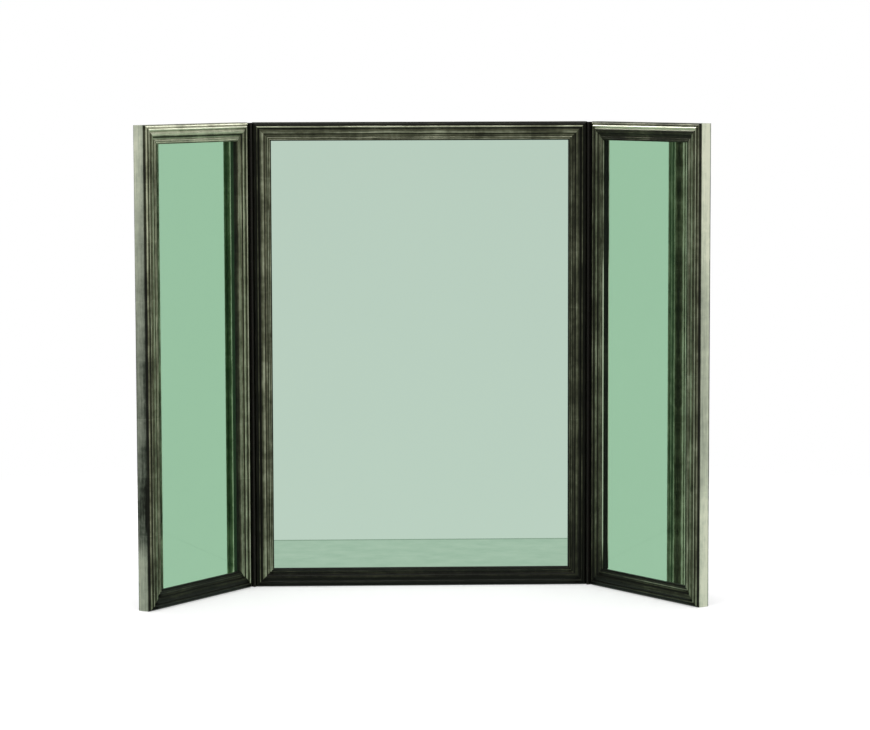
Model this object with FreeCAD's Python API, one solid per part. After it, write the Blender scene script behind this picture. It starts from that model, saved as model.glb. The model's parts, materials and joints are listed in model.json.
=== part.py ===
import FreeCAD, Part
import math
import os

# Trifold vanity mirror: a centre mirror and two wings on continuous hinges.
# Millimetres, +X right, +Y away from the user, +Z up. The origin lies under the centre
# panel, halfway across its width and its depth, on the surface that it stands on.
# A panel is drawn by itself first: x from its left edge, y back from its front, z up.

# Panels
centre_width = 508.0
panel_height = 711.0
moulding_depth = 24.0
wing_clearance = 1.0        # each wing is this much narrower than half the centre
closed_gap = 1.0            # between the mouldings when a wing lies over the centre
left_fold = 55.7            # degrees that each wing stands forward of the centre's plane
right_fold = 56.0           # degrees, the same for the right-hand wing

# Moulding section, from the outer edge to the sight edge
lip_width = 5.5
lip_drop = 5.6
bead_width = 3.0
bead_rise = 1.4
groove_width = 1.5
groove_depth = 2.0
band_width = 7.0
band_crown = 0.6
band_depth = 1.3
step_depth = 1.0
cove_width = 5.0
cove_depth = 3.6
reed_width = 2.5
reed_rise = 0.9
reed_count = 2
sight_width = 1.0
sight_drop = 0.4

# Glass and what holds it
glass_seat_depth = 10.0
glass_lap = 6.0             # how far the moulding covers the glass
glass_thickness = 4.0
glass_play = 0.5
backing_bead_width = 8.0
backing_bead_play = 0.3
back_thickness = 3.0
back_land = 10.0            # ledge that carries the back panel
back_play = 0.3

# Wood screws of the back panels
back_screw_head_radius = 2.6
back_screw_shank_radius = 1.4
back_screw_length = 12.0
back_screw_pitch = 230.0    # no two screws in a row stand further apart
back_screw_end = 45.0       # first screw from the panel's corner

# Corner nails driven into the backs of the mitres
nail_leg = 6.0
nail_thickness = 0.8
nail_rim_height = 10.0
nail_ledge_height = 7.0
nail_play = 0.05

# Continuous hinges, one up each side, screwed to the panels' edges
hinge_end_inset = 0.5       # from the panel's end to the hinge's end
knuckle_pitch = 26.0
knuckle_play = 0.3
leaf_thickness = 1.0
leaf_reach = 16.0           # from the pin's axis to the leaf's far edge
pin_radius = 1.0
pin_play = 0.05
leaf_screw_row = 10.5       # from the pin's axis
leaf_screw_end = 35.0       # first screw from the hinge's end
leaf_screw_pitch = 110.0
leaf_screw_head_radius = 2.2
leaf_screw_shank_radius = 1.2
leaf_screw_length = 12.0
screw_tip_length = 2.5
screw_play = 0.1

# Worked out from the sizes above
moulding_width = (lip_width + bead_width + groove_width + band_width
                  + cove_width + reed_width * reed_count + sight_width)
wing_width = centre_width / 2 - wing_clearance
knuckle_radius = pin_radius + pin_play + leaf_thickness
pin_offset = knuckle_radius         # pin's axis, outside the panel's edge
panel_gap = 2 * pin_offset          # between the panels' edges when they lie in line
pin_lead = closed_gap / 2           # pin's axis, in front of the mouldings
hinge_length = panel_height - 2 * hinge_end_inset
knuckle_pairs = round((hinge_length - knuckle_pitch) / (2 * knuckle_pitch))
knuckle_count = 2 * knuckle_pairs + 1
rabbet_wall = moulding_width - glass_lap
ledge_wall = rabbet_wall - back_land
panel_seat_depth = moulding_depth - back_thickness
glass_back_depth = glass_seat_depth + glass_thickness
front_y = -moulding_depth / 2
overshoot = 5.0                     # how far a cutting solid stands clear of the wood

X = FreeCAD.Vector(1, 0, 0)
Y = FreeCAD.Vector(0, 1, 0)
Z = FreeCAD.Vector(0, 0, 1)
ORIGIN = FreeCAD.Vector(0, 0, 0)


def point(x, y, z):
    return FreeCAD.Vector(x, y, z)


def box(x_range, y_range, z_range):
    low = point(x_range[0], y_range[0], z_range[0])
    size = [end - start for start, end in (x_range, y_range, z_range)]
    return Part.makeBox(*size, low)


def fused(shapes):
    whole = shapes[0]
    if len(shapes) > 1:
        whole = whole.multiFuse(shapes[1:]).removeSplitter()
    return whole


# ---- moulding ----

def section_point(inward, depth):
    """A point of the moulding's section: inward from the outer edge, back from the front."""
    return point(0, depth, inward)


def arc(start, middle, end):
    return Part.Arc(section_point(*start), section_point(*middle), section_point(*end)).toShape()


def line(start, end):
    return Part.LineSegment(section_point(*start), section_point(*end)).toShape()


def moulding_section():
    """Lip, bead, groove, crowned band, cove, reeds and sight edge, with both rabbets behind."""
    round_share = math.sqrt(0.5)        # where a quarter round has turned 45 degrees
    bead_start = lip_width
    bead_end = bead_start + bead_width
    band_start = bead_end + groove_width
    band_end = band_start + band_width
    reeds_start = band_end + cove_width
    reeds_end = reeds_start + reed_width * reed_count
    cove_top = band_depth + step_depth
    sight_depth = cove_depth + sight_drop

    lip_middle = (lip_width * (1 - round_share), lip_drop - (lip_drop - bead_rise) * round_share)
    cove_middle = (reeds_start - cove_width * round_share,
                   cove_top + (cove_depth - cove_top) * round_share)
    edges = [
        arc((0, lip_drop), lip_middle, (bead_start, bead_rise)),
        arc((bead_start, bead_rise), (bead_start + bead_width / 2, 0), (bead_end, bead_rise)),
        arc((bead_end, bead_rise), (bead_end + groove_width / 2, groove_depth),
            (band_start, band_depth)),
        arc((band_start, band_depth), (band_start + band_width / 2, band_depth - band_crown),
            (band_end, band_depth)),
        line((band_end, band_depth), (band_end, cove_top)),
        arc((band_end, cove_top), cove_middle, (reeds_start, cove_depth)),
    ]
    for number in range(reed_count):
        reed_start = reeds_start + number * reed_width
        edges.append(arc((reed_start, cove_depth),
                         (reed_start + reed_width / 2, cove_depth - reed_rise),
                         (reed_start + reed_width, cove_depth)))
    corners = [
        (reeds_end, cove_depth),
        (moulding_width, sight_depth),
        (moulding_width, glass_seat_depth),
        (rabbet_wall, glass_seat_depth),
        (rabbet_wall, panel_seat_depth),
        (ledge_wall, panel_seat_depth),
        (ledge_wall, moulding_depth),
        (0, moulding_depth),
        (0, lip_drop),
    ]
    edges += [line(start, end) for start, end in zip(corners, corners[1:])]
    return Part.Face(Part.Wire(edges))


def mitred_member(length):
    """A length of moulding along +X, its outer edge on z = 0, cut to 45 degrees at each end."""
    blank = moulding_section().extrude(X * length)
    outside = overshoot
    inside = moulding_width + overshoot
    corners = [
        point(-outside, -overshoot, -outside),
        point(length + outside, -overshoot, -outside),
        point(length - inside, -overshoot, inside),
        point(inside, -overshoot, inside),
    ]
    outline = Part.makePolygon(corners + corners[:1])
    mitres = Part.Face(outline).extrude(Y * (moulding_depth + 2 * overshoot))
    return blank.common(mitres)


def turned(member, degrees, x, z):
    member = member.copy()
    member.rotate(ORIGIN, Y, degrees)
    member.translate(point(x, 0, z))
    return member


def frame_members(width, left_name, right_name):
    across = mitred_member(width)
    upright = mitred_member(panel_height)
    return {
        "bottom_rail": across,
        "top_rail": turned(across, 180, width, panel_height),
        left_name: turned(upright, 90, 0, panel_height),
        right_name: turned(upright, -90, width, 0),
    }


# ---- corner nails ----

def corner_nail(inset, height, play):
    """An L of steel strip along the outer edges' directions, its corner on the mitre."""
    start = inset - nail_thickness / 2 - play
    thick = inset + nail_thickness / 2 + play
    end = start + nail_leg + 2 * play
    back = moulding_depth if inset < ledge_wall else panel_seat_depth
    depths = (back - height - play, back)
    return fused([box((start, end), depths, (start, thick)), box((start, thick), depths, (start, end))])


def corner_nails(width, play=0.0):
    """One nail in the rim and one in the ledge of each of a panel's four corners."""
    nails = []
    for inset, height in ((ledge_wall / 2, nail_rim_height),
                          ((ledge_wall + rabbet_wall) / 2, nail_ledge_height)):
        lower_left = corner_nail(inset, height, play)
        lower_right = lower_left.mirror(point(width / 2, 0, 0), X)
        for nail in (lower_left, lower_right):
            nails += [nail, nail.mirror(point(0, 0, panel_height / 2), Z)]
    return nails


# ---- screws ----

def screw_solid(head_radius, shank_radius, head_height, length, play=0.0):
    """A countersunk screw driven along +X, its head flush with x = 0."""
    head = Part.makeCone(head_radius + play, shank_radius + play, head_height, ORIGIN, X)
    shank_length = length - head_height - screw_tip_length
    shank = Part.makeCylinder(shank_radius + play, shank_length, point(head_height, 0, 0), X)
    tip_start = point(head_height + shank_length, 0, 0)
    tip = Part.makeCone(shank_radius + play, shank_radius / 3 + play, screw_tip_length + play,
                        tip_start, X)
    return fused([head, shank, tip])


def back_screw(play=0.0):
    screw = screw_solid(back_screw_head_radius, back_screw_shank_radius, back_thickness / 2,
                        back_screw_length, play)
    screw.rotate(ORIGIN, Z, -90)
    screw.translate(point(0, moulding_depth, 0))
    return screw


def leaf_screw(play=0.0):
    """Driven along -X from the leaf's bare face, in the frame of the left-hand leaf."""
    screw = screw_solid(leaf_screw_head_radius, leaf_screw_shank_radius, leaf_thickness,
                        leaf_screw_length, play)
    screw.rotate(ORIGIN, Z, 180)
    screw.translate(point(leaf_thickness - knuckle_radius, leaf_screw_row, 0))
    return screw


def spread(length, end, pitch):
    """Even places between the two end screws of a side, no wider apart than the pitch."""
    run = length - 2 * end
    spaces = max(1, math.ceil(run / pitch))
    return [end + run * step / spaces for step in range(spaces + 1)]


def back_screws(width, play=0.0):
    """Screws round the back panel, on the middle of the ledge that carries it."""
    ledge = (ledge_wall + rabbet_wall) / 2
    along = spread(width, back_screw_end, back_screw_pitch)
    upright = spread(panel_height, back_screw_end, back_screw_pitch)
    places = [(x, z) for x in along for z in (ledge, panel_height - ledge)]
    places += [(x, z) for x in (ledge, width - ledge) for z in upright[1:-1]]
    screws = []
    for x, z in places:
        screw = back_screw(play)
        screw.translate(point(x, 0, z))
        screws.append(screw)
    return screws


# ---- what fills a frame ----

def mirror_glass(width):
    edge = rabbet_wall + glass_play
    return box((edge, width - edge), (glass_seat_depth, glass_back_depth),
               (edge, panel_height - edge))


def backing_beads(width):
    """Four battens that wedge the glass between its seat and the back panel."""
    edge = rabbet_wall + backing_bead_play
    inner = edge + backing_bead_width
    depths = (glass_back_depth, panel_seat_depth)
    full = (edge, width - edge)
    between = (inner + backing_bead_play, panel_height - inner - backing_bead_play)
    return [
        box(full, depths, (edge, inner)),
        box(full, depths, (panel_height - inner, panel_height - edge)),
        box((edge, inner), depths, between),
        box((width - inner, width - edge), depths, between),
    ]


def back_panel(width):
    edge = ledge_wall + back_play
    board = box((edge, width - edge), (panel_seat_depth, moulding_depth),
                (edge, panel_height - edge))
    return board.cut(Part.makeCompound(back_screws(width, screw_play)))


# ---- hinges ----
# A hinge is drawn about its pin: the axis is Z, the leaf lies on the -X side and
# reaches back along +Y, as when the panels lie in line.

def knuckle_section():
    """An eye rolled from the leaf, round outside and in, that runs tangent into it."""
    inner_x = leaf_thickness - knuckle_radius
    meet_angle = math.acos(inner_x / knuckle_radius)
    meet_y = knuckle_radius * math.sin(meet_angle)
    middle_angle = (math.pi + meet_angle + 2 * math.pi) / 2
    root_y = knuckle_radius + knuckle_play
    outer_start = point(-knuckle_radius, 0, 0)
    outer_root = point(-knuckle_radius, root_y, 0)
    inner_root = point(inner_x, root_y, 0)
    inner_start = point(inner_x, meet_y, 0)
    middle = point(knuckle_radius * math.cos(middle_angle), knuckle_radius * math.sin(middle_angle), 0)
    eye = Part.Arc(outer_start, middle, inner_start).toShape()
    sides = Part.makePolygon([inner_start, inner_root, outer_root, outer_start]).Edges
    outer = Part.Wire([eye] + sides)
    bore = Part.Wire(Part.makeCircle(pin_radius + pin_play, ORIGIN, Z))
    return Part.Face([outer, bore])


def leaf_screws(play=0.0):
    screws = []
    for height in spread(hinge_length, leaf_screw_end, leaf_screw_pitch):
        screw = leaf_screw(play)
        screw.translate(Z * height)
        screws.append(screw)
    return screws


def hinge_leaf(first_knuckle):
    """A full-height leaf with every second knuckle, starting at the one named."""
    plate = box((-knuckle_radius, leaf_thickness - knuckle_radius),
                (knuckle_radius + knuckle_play, leaf_reach), (0, hinge_length))
    pitch = hinge_length / knuckle_count
    solids = [plate]
    for number in range(first_knuckle, knuckle_count, 2):
        low = number * pitch + (knuckle_play / 2 if number else 0)
        high = (number + 1) * pitch - (knuckle_play / 2 if number < knuckle_count - 1 else 0)
        knuckle = knuckle_section().extrude(Z * (high - low))
        knuckle.translate(Z * low)
        solids.append(knuckle)
    return fused(solids).cut(Part.makeCompound(leaf_screws(screw_play)))


def hinge_pin():
    return Part.makeCylinder(pin_radius, hinge_length, ORIGIN, Z)


def at_edge(shape, side, width):
    """Moves a hinge shape to a panel's edge; side is +1 for its right edge, -1 for its left."""
    edge = width if side > 0 else 0.0
    shape = shape.copy() if side > 0 else shape.mirror(ORIGIN, X)
    shape.translate(point(edge + side * pin_offset, -pin_lead, hinge_end_inset))
    return shape


def edge_screws(side, width):
    return Part.makeCompound([at_edge(screw, side, width) for screw in leaf_screws()])


# ---- panels ----

def panel(width, left_name, right_name, hinged_sides):
    """Every piece of one framed mirror, with its frame cut for hinges, nails and screws."""
    pieces = frame_members(width, left_name, right_name)
    cutters = corner_nails(width, nail_play) + back_screws(width, screw_play)
    for side in hinged_sides:
        cutters += [at_edge(screw, side, width) for screw in leaf_screws(screw_play)]
    for name, member in pieces.items():
        near = [cutter for cutter in cutters if cutter.BoundBox.intersect(member.BoundBox)]
        pieces[name] = member.cut(Part.makeCompound(near))
    pieces["mirror_glass"] = mirror_glass(width)
    pieces["backing_beads"] = Part.makeCompound(backing_beads(width))
    pieces["back_panel"] = back_panel(width)
    pieces["back_screws"] = Part.makeCompound(back_screws(width))
    pieces["corner_nails"] = Part.makeCompound(corner_nails(width))
    return pieces


def wing_placement(side, fold):
    """Stands a wing beside the centre and folds it forward about its pins."""
    pin = point(side * (centre_width / 2 + pin_offset), front_y - pin_lead, 0)
    left_edge = centre_width / 2 + panel_gap if side > 0 else -centre_width / 2 - panel_gap - wing_width
    flat = FreeCAD.Placement(point(left_edge, front_y, 0), FreeCAD.Rotation())
    turn = FreeCAD.Placement(ORIGIN, FreeCAD.Rotation(Z, -side * fold), pin)
    return turn.multiply(flat)


def placed(shape, placement):
    shape = shape.copy()
    shape.transformShape(placement.toMatrix())
    return shape


def build():
    nodes = {}
    centre_placement = FreeCAD.Placement(point(-centre_width / 2, front_y, 0), FreeCAD.Rotation())
    for name, shape in panel(centre_width, "left_stile", "right_stile", (-1, 1)).items():
        nodes[f"centre_{name}"] = placed(shape, centre_placement)

    for side_name, side, fold in (("left", -1, left_fold), ("right", 1, right_fold)):
        placement = wing_placement(side, fold)
        stile_names = ("outer_stile", "hinge_stile") if side < 0 else ("hinge_stile", "outer_stile")
        for name, shape in panel(wing_width, *stile_names, (-side,)).items():
            nodes[f"{side_name}_wing_{name}"] = placed(shape, placement)

        hinge_pieces = {
            "centre_leaf": placed(at_edge(hinge_leaf(0), side, centre_width), centre_placement),
            "wing_leaf": placed(at_edge(hinge_leaf(1), -side, wing_width), placement),
            "pin": placed(at_edge(hinge_pin(), side, centre_width), centre_placement),
            "centre_screws": placed(edge_screws(side, centre_width), centre_placement),
            "wing_screws": placed(edge_screws(-side, wing_width), placement),
        }
        for name, shape in hinge_pieces.items():
            nodes[f"{side_name}_hinge_{name}"] = shape
    return nodes


os.makedirs("parts", exist_ok=True)
for node_name, node_shape in build().items():
    node_shape.exportStep(f"parts/{node_name}.step")
    print(node_name, len(node_shape.Solids), round(node_shape.Volume))
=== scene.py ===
import bpy
import bmesh
import cmath
import json
import math
from mathutils import Matrix, Vector


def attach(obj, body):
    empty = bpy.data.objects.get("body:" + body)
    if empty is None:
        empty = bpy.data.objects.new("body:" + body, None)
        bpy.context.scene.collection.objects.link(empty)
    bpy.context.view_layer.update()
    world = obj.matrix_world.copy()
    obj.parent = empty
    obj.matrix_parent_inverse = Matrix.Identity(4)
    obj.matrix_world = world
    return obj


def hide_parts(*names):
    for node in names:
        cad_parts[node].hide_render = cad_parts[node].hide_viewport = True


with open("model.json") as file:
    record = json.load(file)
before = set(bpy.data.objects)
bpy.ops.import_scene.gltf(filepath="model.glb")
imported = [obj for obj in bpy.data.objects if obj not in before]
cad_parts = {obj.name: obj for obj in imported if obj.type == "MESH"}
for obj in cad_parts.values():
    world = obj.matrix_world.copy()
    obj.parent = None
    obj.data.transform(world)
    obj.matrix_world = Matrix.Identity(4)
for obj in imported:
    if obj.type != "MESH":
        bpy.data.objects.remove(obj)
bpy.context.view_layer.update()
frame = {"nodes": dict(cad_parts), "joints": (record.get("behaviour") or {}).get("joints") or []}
mm = 0.001
print("frame loaded with", len(frame["nodes"]), "nodes")

# Each panel is made by itself first: x from its left edge, y back from its front, z up.
panelSizes = {
    "centreWidth": 508.0,
    "wingWidth": 253.0,
    "height": 711.0,
    "depth": 24.0,
    "betweenPanels": 4.1,
    "pinInFront": 0.5,
    "glassFront": 10.0,
    "glassThickness": 4.0,
    "glassInset": 22.5,
    "glassArris": 0.5,
}


# one output of a node; these and plain numbers can be added, multiplied and compared
class Wire:
    def __init__(self, socket):
        self.socket = socket
        self.tree = socket.id_data


def wiresOf(node):
    return {socket.name: Wire(socket) for socket in node.outputs}


def feed(node, inputs):
    for key, value in inputs.items():
        if isinstance(value, Wire):
            value.tree.links.new(value.socket, node.inputs[key])
        else:
            node.inputs[key].default_value = value


# the node goes into the tree that its inputs come from, unless a tree is named
def addNode(kind, inputs, output=0, tree=None, **settings):
    tree = tree or next(value.tree for value in inputs.values() if isinstance(value, Wire))
    node = tree.nodes.new(kind)
    for key, value in settings.items():
        setattr(node, key, value)
    feed(node, inputs)
    return Wire(node.outputs[output])


def shaderNode(kind, *inputs, **settings):
    return addNode("ShaderNode" + kind, *inputs, **settings)


def geometryNode(kind, *inputs, **settings):
    return addNode("GeometryNode" + kind, *inputs, **settings)


def calc(operation, *values):
    return shaderNode("Math", dict(enumerate(values)), operation=operation)


for sign, operation in (("add", "ADD"), ("sub", "SUBTRACT"), ("mul", "MULTIPLY"), ("truediv", "DIVIDE")):
    setattr(Wire, f"__{sign}__", lambda first, second, operation=operation: calc(operation, first, second))
    setattr(Wire, f"__r{sign}__", lambda second, first, operation=operation: calc(operation, first, second))
Wire.__gt__ = lambda value, limit: calc("GREATER_THAN", value, limit)
Wire.__lt__ = lambda value, limit: calc("LESS_THAN", value, limit)


def blendColour(share, first, second, mode="MIX"):
    return shaderNode("Mix", {0: share, 6: first, 7: second}, 2, data_type="RGBA", blend_type=mode)


def blendValue(share, first, second):
    return shaderNode("Mix", {0: share, 2: first, 3: second}, data_type="FLOAT")


def remap(value, low, high, newLow=0.0, newHigh=1.0):
    return shaderNode("MapRange", {"Value": value, "From Min": low, "From Max": high,
                                   "To Min": newLow, "To Max": newHigh})


def noise(vector, scale, detail, roughness):
    return shaderNode("TexNoise", {"Vector": vector, "Scale": scale, "Detail": detail, "Roughness": roughness})


def combined(x=0.0, y=0.0, z=0.0):
    return shaderNode("CombineXYZ", {0: x, 1: y, 2: z})


def separated(vector):
    return wiresOf(shaderNode("SeparateXYZ", {0: vector}).socket.node)


def objectPlace(tree):
    return shaderNode("TexCoord", {}, "Object", tree)


def lightPath(tree):
    return wiresOf(tree.nodes.new("ShaderNodeLightPath"))


def newGroup(name, kind, inputs, output):
    tree = bpy.data.node_groups.new(name, kind + "NodeTree")
    for side, sockets in (("INPUT", inputs), ("OUTPUT", output)):
        for socketName, value in sockets.items():
            kind = value if isinstance(value, str) else "Int" if isinstance(value, int) else "Float"
            socket = tree.interface.new_socket(name=socketName, in_out=side, socket_type="NodeSocket" + kind)
            if kind != value:
                socket.default_value = value
    return tree, wiresOf(tree.nodes.new("NodeGroupInput"))


def putOut(wire):
    feed(wire.tree.nodes.new("NodeGroupOutput"), {0: wire})
    return wire.tree


def fromGroup(tree, group, *values):
    return shaderNode("Group", dict(enumerate(values)), 0, tree, node_tree=group)


sharedEffects = {
    "streakNoise": (4.0, 0.6), "cloudNoise": (5.0, 0.6),    # detail and roughness
    "streakContrast": (0.3, 0.7), "speckChance": 0.55, "speckEdge": 0.02,
}


def lengthwiseStreaks():
    tree, given = newGroup("lengthwiseStreaks", "Shader", {
        "Along": 0.0, "Across": 0.0, "Seed": 0.0, "Streak Length": 0.04, "Streak Width": 0.0008},
        {"Mask": "Float"})
    lengths, widths = given["Along"] / given["Streak Length"], given["Across"] / given["Streak Width"]
    vector = combined(lengths, widths, given["Seed"])
    return putOut(remap(noise(vector, 1.0, *sharedEffects["streakNoise"]), *sharedEffects["streakContrast"]))


def cloudyTone():
    tree, given = newGroup("cloudyTone", "Shader", {"Size": 0.05, "Softness": 0.2, "Shift": 0.0},
                           {"Mask": "Float"})
    shift = combined(given["Shift"], 0.0, given["Shift"])
    vector = shaderNode("VectorMath", {0: objectPlace(tree), 1: shift}, operation="ADD")
    cloud = noise(vector, 1.0 / given["Size"], *sharedEffects["cloudNoise"])
    return putOut(remap(cloud, 0.5 - given["Softness"], 0.5 + given["Softness"]))


def darkSpecks():
    tree, given = newGroup("darkSpecks", "Shader", {"Spacing": 0.012, "Size": 0.06}, {"Mask": "Float"})
    colour = shaderNode("TexVoronoi", {"Vector": objectPlace(tree), "Scale": 1.0 / given["Spacing"]}, "Color")
    chance = shaderNode("SeparateColor", {0: colour})
    near = remap(given["Size"] - wiresOf(colour.socket.node)["Distance"], 0.0, sharedEffects["speckEdge"])
    return putOut((chance > sharedEffects["speckChance"]) * near)


streakGroup = lengthwiseStreaks()
cloudGroup = cloudyTone()
speckGroup = darkSpecks()
print("shared effects built")


def newMaterial(name):
    material = bpy.data.materials.new(name)
    material.use_nodes = True
    return material, material.node_tree, material.node_tree.nodes["Principled BSDF"]


def readAttributes(tree, *names):
    return [shaderNode("Attribute", {}, "Fac", tree, attribute_name=name) for name in names]


def bumped(height, distance):
    return shaderNode("Bump", {"Height": height, "Distance": distance, "Strength": 1.0})


def surface(shader, finish, colour, wear, height=None, metal=0.0):
    rough = blendValue(wear, *finish["roughness"])
    feed(shader, {"Base Color": colour, "Metallic": metal, "Roughness": rough})
    if height:
        feed(shader, {"Normal": bumped(height, finish["relief"])})


def colourBetween(value, positions, colours):
    wire = shaderNode("ValToRGB", {0: value})
    elements = wire.socket.node.color_ramp.elements
    while len(elements) < len(positions):
        elements.new(0.5)
    for element, position, colour in zip(elements, positions, colours):
        element.position = position
        element.color = colour
    return wire


# In all finishes streaks are (length, width) and specks (spacing, size). Clouds and scuffs are (size,
# softness, shift), and the rails' own clouds and patches take their shift from the rail's seed.
leafFinish = {
    "rubbedAndHighlit": (0.855, 0.87, 0.70, 1),      # where the glaze is wiped off the ridges, and where painted highlights reach
    "bright": (0.502, 0.515, 0.38, 1),
    "aged": (0.143, 0.146, 0.096, 1),
    "brown": (0.034, 0.036, 0.021, 1),
    "glazeAndShade": (0.0062, 0.0064, 0.0038, 1),  # left in the hollows, and where painted shade is darkest
    # the side colours carry the flanks' own mottling and their painted light and shade
    "sideBright": (0.66, 0.70, 0.55, 1),
    "sideMiddle": (0.355, 0.385, 0.305, 1),
    "sideDark": (0.073, 0.087, 0.064, 1),
    "inMirror": (0.020, 0.048, 0.022, 1),  # painted reflection: some lengths are drawn a little lighter and greener where the mirrors show them
    "frontStops": (0.0, 0.24, 0.48, 0.74, 1.0),
    "sideStops": (0.0, 0.16, 0.50, 0.85, 1.0),
    "glazeBelow": (0.10, 0.40),
    "middle": 0.46,
    "fineStreaks": (0.035, 0.0009),
    "broadStreaks": (0.11, 0.0026),
    "clouds": (0.045, 0.16),
    "patches": (0.009, 0.14),
    "specks": (0.009, 0.07),
    "speckTone": -0.25,
    "shares": (0.22, 0.20, 0.20, 0.08, 0.06),  # of clouds, fine and broad streaks, patches and sheets
    "sheetLength": 0.086,
    "sheetWander": 0.05,
    "lapWidth": 0.010,
    "lapTone": 0.05,
    "mitreWidth": 0.0006,
    "mitreTone": 0.18,
    "sideWipe": 0.8,
    "roughness": (0.25, 0.42),
    "glazeRoughness": 0.52,
    "sideRoughness": 0.46,
    "metal": 0.92,
    "glazeMetal": 0.25,
    "sideMetal": 0.40,
    "sheen": 0.2,
    "streakHeight": 0.6,
    "patchHeight": 0.8,
    "relief": 0.00012,
}


def silverLeafMaterial():
    finish = leafFinish
    material, tree, shader = newMaterial("agedSilverLeaf")
    along, across, seed, tone, wipe, side, mitre, mirrorTone, mirrorGreen = readAttributes(
        tree, "alongRail", "acrossRail", "railSeed", "railTone", "wipe", "sideFace", "fromMitre",
        "mirrorTone", "mirrorGreen")
    fine = fromGroup(tree, streakGroup, along, across, seed, *finish["fineStreaks"])
    broad = fromGroup(tree, streakGroup, along, across, seed, *finish["broadStreaks"])
    cloud = fromGroup(tree, cloudGroup, *finish["clouds"], seed)
    patch = fromGroup(tree, cloudGroup, *finish["patches"], seed)
    specks = fromGroup(tree, speckGroup, *finish["specks"])

    # sheets of leaf laid one after another, each a little different, with a faint lap between
    sheets = along / finish["sheetLength"] + cloud * finish["sheetWander"]
    sheetTone = shaderNode("TexWhiteNoise", {"W": calc("FLOOR", sheets) + seed}, noise_dimensions="1D")
    lap = calc("FRACT", sheets) < finish["lapWidth"]

    # the lightness holds the rail's painted light and shade (railTone) besides the leaf's own clouds, streaks,
    # patches and sheets
    lightness = tone + finish["middle"]
    for mask, share in zip((cloud, fine, broad, patch, sheetTone), finish["shares"]):
        lightness = lightness + (mask - 0.5) * share
    # painted reflection: where a mirror sees the leaf it is drawn lighter by mirrorTone and greener by
    # mirrorGreen
    inMirror = lightPath(tree)["Is Glossy Ray"]
    lightness = lightness + lap * finish["lapTone"] + inMirror * mirrorTone
    front = lightness + wipe + specks * finish["speckTone"]
    front = front - remap(mitre, 0.0, finish["mitreWidth"], finish["mitreTone"], 0.0)
    frontColour = colourBetween(front, finish["frontStops"], [
        finish[name] for name in ("glazeAndShade", "brown", "aged", "bright", "rubbedAndHighlit")])
    sideColour = colourBetween(lightness + wipe * finish["sideWipe"], finish["sideStops"], [
        finish[name] for name in ("glazeAndShade", "sideDark", "sideMiddle", "sideBright", "rubbedAndHighlit")])
    colour = blendColour(side, frontColour, sideColour)
    colour = blendColour(inMirror * mirrorGreen, colour, finish["inMirror"], "ADD")

    # where the front is dark, from glaze in the hollows or from painted shade, the leaf is rougher and less
    # metallic
    glazeAndShade = remap(front, *finish["glazeBelow"], 1.0, 0.0)
    rough = blendValue(glazeAndShade, blendValue(fine, *finish["roughness"]), finish["glazeRoughness"])
    metal = blendValue(glazeAndShade, finish["metal"], finish["glazeMetal"])
    height = fine * finish["streakHeight"] + patch * finish["patchHeight"]
    feed(shader, {"Base Color": colour, "Roughness": blendValue(side, rough, finish["sideRoughness"]),
                  "Metallic": blendValue(side, metal, finish["sideMetal"]),
                  "Specular IOR Level": finish["sheen"], "Normal": bumped(height, finish["relief"])})
    return material


backPaintFinish = {
    "paint": (0.020, 0.017, 0.014, 1), "wood": (0.20, 0.12, 0.06, 1), "wornThrough": 0.55,
    "grain": (0.09, 0.0012), "clouds": (0.07, 0.2), "grainFrom": 0.6, "cloudFrom": 0.45,
    "roughness": (0.55, 0.75), "relief": 0.0002,
}


def backPaintMaterial():
    finish = backPaintFinish
    material, tree, shader = newMaterial("paintedFrameBack")
    grain = fromGroup(tree, streakGroup, *readAttributes(tree, "alongRail", "acrossRail", "railSeed"),
                      *finish["grain"])
    cloud = fromGroup(tree, cloudGroup, *finish["clouds"], *readAttributes(tree, "railSeed"))
    worn = remap(cloud, finish["cloudFrom"], 1.0, 0.0, finish["wornThrough"])
    thin = remap(grain, finish["grainFrom"], 1.0) * worn
    surface(shader, finish, blendColour(thin, finish["paint"], finish["wood"]), grain, grain)
    return material


mirrorFinish = {
    "silver": (0.798, 0.930, 0.821, 1), "haze": (0.76, 0.89, 0.79, 1),
    "clouds": (0.16, 0.25, 2.0), "cloudHaze": 0.22,
    "specks": (0.085, 0.035), "speckHaze": 0.6,
    "roughness": (0.006, 0.036),
}
backingFinish = {
    "paint": (0.11, 0.12, 0.115, 1), "thinPaint": (0.16, 0.17, 0.165, 1), "chips": (0.05, 0.05, 0.05, 1),
    "clouds": (0.03, 0.25, 5.0), "specks": (0.02, 0.06),
    "roughness": (0.45, 0.6), "relief": 0.0001,
}
glassEdgeFinish = {
    "green": (0.12, 0.30, 0.20, 1), "ground": (0.22, 0.42, 0.31, 1),
    "clouds": (0.004, 0.2, 1.0), "roughness": (0.2, 0.45),
}


def mirrorMaterial():
    finish = mirrorFinish
    material, tree, shader = newMaterial("silveredGlass")
    cloud = fromGroup(tree, cloudGroup, *finish["clouds"])
    specks = fromGroup(tree, speckGroup, *finish["specks"])
    haze = calc("MAXIMUM", cloud * finish["cloudHaze"], specks * finish["speckHaze"])
    surface(shader, finish, blendColour(haze, finish["silver"], finish["haze"]), haze, metal=1.0)
    return material


def mirrorBackMaterial():
    finish = backingFinish
    material, tree, shader = newMaterial("mirrorBackingPaint")
    cloud = fromGroup(tree, cloudGroup, *finish["clouds"])
    specks = fromGroup(tree, speckGroup, *finish["specks"])
    paint = blendColour(cloud, finish["paint"], finish["thinPaint"])
    surface(shader, finish, blendColour(specks, paint, finish["chips"]), cloud, cloud)
    return material


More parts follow.
